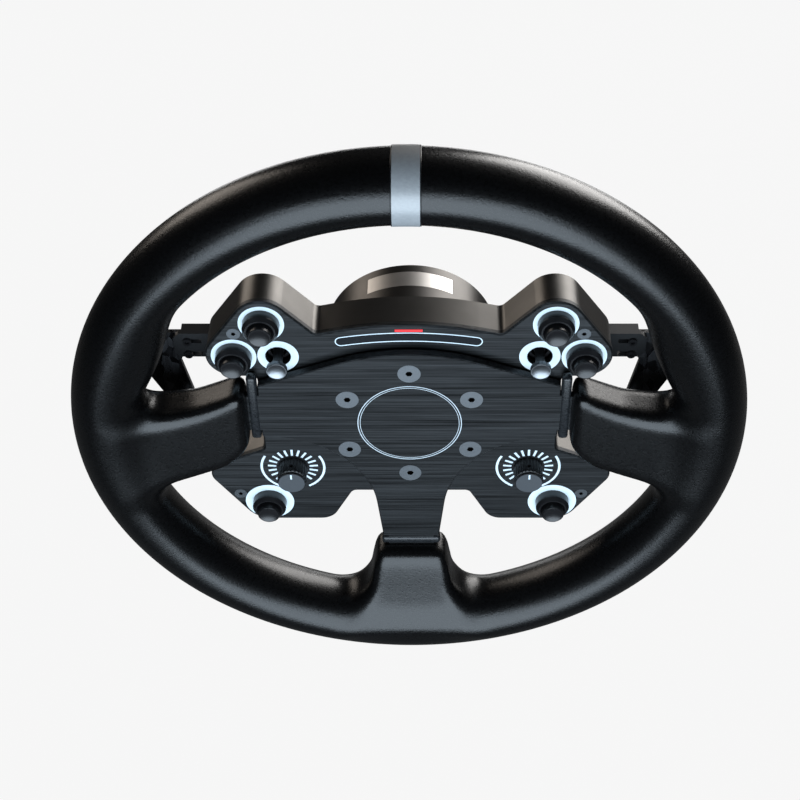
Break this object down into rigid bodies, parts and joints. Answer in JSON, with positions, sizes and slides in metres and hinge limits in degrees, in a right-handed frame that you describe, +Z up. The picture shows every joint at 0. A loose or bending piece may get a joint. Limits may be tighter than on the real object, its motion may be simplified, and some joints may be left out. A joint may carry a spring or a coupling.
{
  "type": "racing wheel",
  "caption": "Round leather-gripped racing wheel with a metal spoke plate, button box, rotary knobs, thumb sticks, shift paddles and a quick-release hub.",
  "frame": {"origin": "middle of the mouth of the quick-release socket, on the wheel axis", "axes": "+X to the driver's right, +Z up, +Y along the wheel axis away from the driver, out of the socket"},
  "size_m": [0.33, 0.0929, 0.3304],
  "materials": {
    "band": "matte",
    "black_plastic": "matte",
    "black_steel": "satin",
    "board": "matte",
    "bright_steel": "polished",
    "brushed_black": "brushed",
    "cast_core": "matte",
    "forged_carbon": "gloss",
    "label_grey": "satin",
    "leather": "satin",
    "led_chip": "gloss",
    "red_mark": "gloss",
    "ring_light": "gloss",
    "screw_steel": "satin",
    "shell_metal": "satin",
    "smoked_lens": "gloss",
    "trim_leather": "satin"
  },
  "bodies": {
    "root": {"button_bezels": "black_plastic", "button_nuts": "black_steel", "button_switches": "black_plastic", "centre_mark": "red_mark", "centre_plate": "brushed_black", "control_board_left": "board", "control_board_right": "board", "encoder_bodies": "black_plastic", "encoder_nuts": "black_steel", "face_panel": "brushed_black", "hub_spacer": "shell_metal", "light_rings": "ring_light", "paddle_brackets": "black_steel", "paddle_pins": "bright_steel", "paddle_switches": "black_plastic", "panel_screws": "screw_steel", "plate_screws": "screw_steel", "qr_balls": "bright_steel", "qr_contact_board": "board", "qr_hub": "shell_metal", "qr_snap_ring": "bright_steel", "qr_spring": "bright_steel", "rear_shell": "shell_metal", "rev_light_board": "board", "rev_light_lens": "smoked_lens", "rev_lights": "led_chip", "rim_core": "cast_core", "rim_grip": "leather", "spoke_trim_bottom": "trim_leather", "spoke_trim_left": "trim_leather", "spoke_trim_right": "trim_leather", "stick_bases": "black_plastic", "top_marker_band": "band"},
    "button_upper_left": {"cap_upper_left": "black_plastic"},
    "button_outer_left": {"cap_outer_left": "black_plastic"},
    "button_lower_left": {"cap_lower_left": "black_plastic"},
    "dial_left": {"knob_left": "black_plastic", "encoder_shaft_left": "bright_steel"},
    "stick_gimbal_left": {"gimbal_left": "black_plastic"},
    "thumb_stick_left": {"stick_left": "black_steel", "stick_cap_left": "black_steel"},
    "paddle_left": {"paddle_arm_left": "black_steel", "paddle_blade_left": "forged_carbon", "paddle_screws_left": "screw_steel"},
    "button_upper_right": {"cap_upper_right": "black_plastic"},
    "button_outer_right": {"cap_outer_right": "black_plastic"},
    "button_lower_right": {"cap_lower_right": "black_plastic"},
    "dial_right": {"knob_right": "black_plastic", "encoder_shaft_right": "bright_steel"},
    "stick_gimbal_right": {"gimbal_right": "black_plastic"},
    "thumb_stick_right": {"stick_right": "black_steel", "stick_cap_right": "black_steel"},
    "paddle_right": {"paddle_arm_right": "black_steel", "paddle_blade_right": "forged_carbon", "paddle_screws_right": "screw_steel"},
    "release_collar": {"qr_collar": "shell_metal", "collar_label": "label_grey"}
  },
  "joints": [
    {"name": "button_upper_left_press", "type": "slide", "parent": "root", "child": "button_upper_left", "axis": [0, 1, 0], "range_m": [0, 0.002], "stiffness_N_per_m": 150, "springref_m": -0.002},
    {"name": "button_outer_left_press", "type": "slide", "parent": "root", "child": "button_outer_left", "axis": [0, 1, 0], "range_m": [0, 0.002], "stiffness_N_per_m": 150, "springref_m": -0.002},
    {"name": "button_lower_left_press", "type": "slide", "parent": "root", "child": "button_lower_left", "axis": [0, 1, 0], "range_m": [0, 0.002], "stiffness_N_per_m": 150, "springref_m": -0.002},
    {"name": "dial_left_turn", "type": "hinge", "parent": "root", "child": "dial_left", "pos_m": [-0.0605, -0.0653, -0.03715], "axis": [0, -1, 0], "continuous": true},
    {"name": "thumb_stick_left_tilt_up_down", "type": "hinge", "parent": "root", "child": "stick_gimbal_left", "pos_m": [-0.06275, -0.0593, 0.041], "axis": [1, 0, 0], "range_deg": [-10, 10], "stiffness_Nm_per_rad": 0.005},
    {"name": "thumb_stick_left_tilt_sideways", "type": "hinge", "parent": "stick_gimbal_left", "child": "thumb_stick_left", "pos_m": [-0.06275, -0.0593, 0.041], "axis": [0, 0, 1], "range_deg": [-10, 10], "stiffness_Nm_per_rad": 0.005},
    {"name": "paddle_left_pull", "type": "hinge", "parent": "root", "child": "paddle_left", "pos_m": [-0.06, -0.0368, 0.02325], "axis": [0, 0, 1], "range_deg": [0, 4], "stiffness_Nm_per_rad": 1.5, "springref_deg": -5.73},
    {"name": "button_upper_right_press", "type": "slide", "parent": "root", "child": "button_upper_right", "axis": [0, 1, 0], "range_m": [0, 0.002], "stiffness_N_per_m": 150, "springref_m": -0.002},
    {"name": "button_outer_right_press", "type": "slide", "parent": "root", "child": "button_outer_right", "axis": [0, 1, 0], "range_m": [0, 0.002], "stiffness_N_per_m": 150, "springref_m": -0.002},
    {"name": "button_lower_right_press", "type": "slide", "parent": "root", "child": "button_lower_right", "axis": [0, 1, 0], "range_m": [0, 0.002], "stiffness_N_per_m": 150, "springref_m": -0.002},
    {"name": "dial_right_turn", "type": "hinge", "parent": "root", "child": "dial_right", "pos_m": [0.0605, -0.0653, -0.03715], "axis": [0, -1, 0], "continuous": true},
    {"name": "thumb_stick_right_tilt_up_down", "type": "hinge", "parent": "root", "child": "stick_gimbal_right", "pos_m": [0.06275, -0.0593, 0.041], "axis": [1, 0, 0], "range_deg": [-10, 10], "stiffness_Nm_per_rad": 0.005},
    {"name": "thumb_stick_right_tilt_sideways", "type": "hinge", "parent": "stick_gimbal_right", "child": "thumb_stick_right", "pos_m": [0.06275, -0.0593, 0.041], "axis": [0, 0, 1], "range_deg": [-10, 10], "stiffness_Nm_per_rad": 0.005},
    {"name": "paddle_right_pull", "type": "hinge", "parent": "root", "child": "paddle_right", "pos_m": [0.06, -0.0368, 0.02325], "axis": [0, 0, -1], "range_deg": [0, 4], "stiffness_Nm_per_rad": 1.5, "springref_deg": -5.73},
    {"name": "release_collar_pull", "type": "slide", "parent": "root", "child": "release_collar", "axis": [0, -1, 0], "range_m": [0, 0.006], "stiffness_N_per_m": 2000, "springref_m": -0.004, "deforming": ["qr_spring"]}
  ]
}
